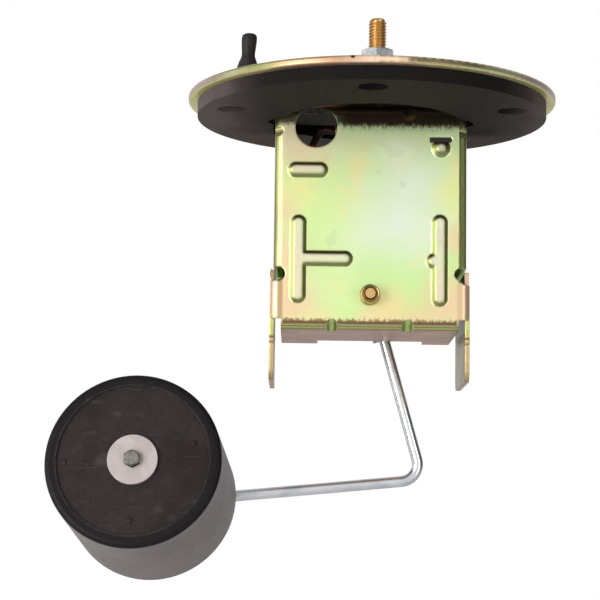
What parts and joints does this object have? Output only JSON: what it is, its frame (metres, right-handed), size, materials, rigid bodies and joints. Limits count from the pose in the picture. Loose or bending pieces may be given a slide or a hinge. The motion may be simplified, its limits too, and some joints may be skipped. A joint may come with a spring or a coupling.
{
  "type": "fuel level sender",
  "caption": "Fuel level sender: a round tank cover with gasket carries a folded bracket, a wire-wound resistor and a drum float on a swinging wire arm.",
  "frame": {"origin": "centre of the bolt circle on the underside of the gasket", "axes": "+Z out of the tank along the terminal stud, the bracket's front plate faces -Y, +X to the right of that plate"},
  "size_m": [0.1082, 0.08, 0.1251],
  "materials": {
    "disc_zinc": "yellow zinc plate with a cream and olive tint",
    "gasket_rubber": "matt black rubber",
    "bracket_zinc": "yellow zinc plate, satin, with green and pink tints",
    "bush_brass": "turned brass",
    "stud_brass": "turned brass",
    "tinned_brass": "tinned brass",
    "leaf_bronze": "springy bronze sheet",
    "contact_silver": "plated contact",
    "board_resin": "brown laminate",
    "former_resin": "dark laminate",
    "winding_wire": "closely wound resistance wire",
    "insulator_resin": "black moulded resin",
    "plated_steel": "bright zinc plate",
    "spring_steel": "plated spring steel",
    "wire_zinc": "bright zinc plated wire",
    "washer_matt": "matt pinkish silver plate",
    "lead_red": "red insulation",
    "boot_rubber": "wrinkled black rubber",
    "float_black": "black moulded float, satin side wall"
  },
  "bodies": {
    "frame": {"mounting_disc": "disc_zinc", "gasket": "gasket_rubber", "bracket": "bracket_zinc", "pivot_bush": "bush_brass", "bearing_bridge": "bracket_zinc", "rear_bush": "bush_brass", "resistor_carrier": "bracket_zinc", "resistor_board": "board_resin", "board_rivets": "plated_steel", "winding_former": "former_resin", "resistance_winding": "winding_wire", "winding_terminals": "bush_brass", "terminal_stud": "stud_brass", "upper_insulator": "insulator_resin", "lower_insulator": "insulator_resin", "stud_washer": "plated_steel", "lock_nut": "plated_steel", "terminal_washer": "plated_steel", "spring_washer": "spring_steel", "terminal_nut": "plated_steel", "inner_washer": "plated_steel", "inner_nut": "stud_brass", "lead_eyelet": "tinned_brass", "red_lead": "lead_red", "earth_post": "stud_brass", "rubber_boot": "boot_rubber"},
    "arm": {"pivot_shaft": "stud_brass", "shaft_collar": "bush_brass", "wiper_hub": "bush_brass", "wiper_leaf": "leaf_bronze", "contact_button": "contact_silver", "arm_lever": "plated_steel", "float_wire": "wire_zinc", "float_washer_front": "washer_matt", "float_washer_rear": "plated_steel"},
    "float": {"float_body": "float_black"}
  },
  "joints": [
    {"name": "arm_swing", "type": "hinge", "parent": "frame", "child": "arm", "pos_m": [0, 0.0105, -0.0386], "axis": [0, 1, 0], "range_deg": [0, 65]},
    {"name": "float_spin", "type": "hinge", "parent": "arm", "child": "float", "pos_m": [-0.04847, 0.00601, -0.07901], "axis": [-0.0664, -0.9744, 0.2147], "continuous": true}
  ]
}
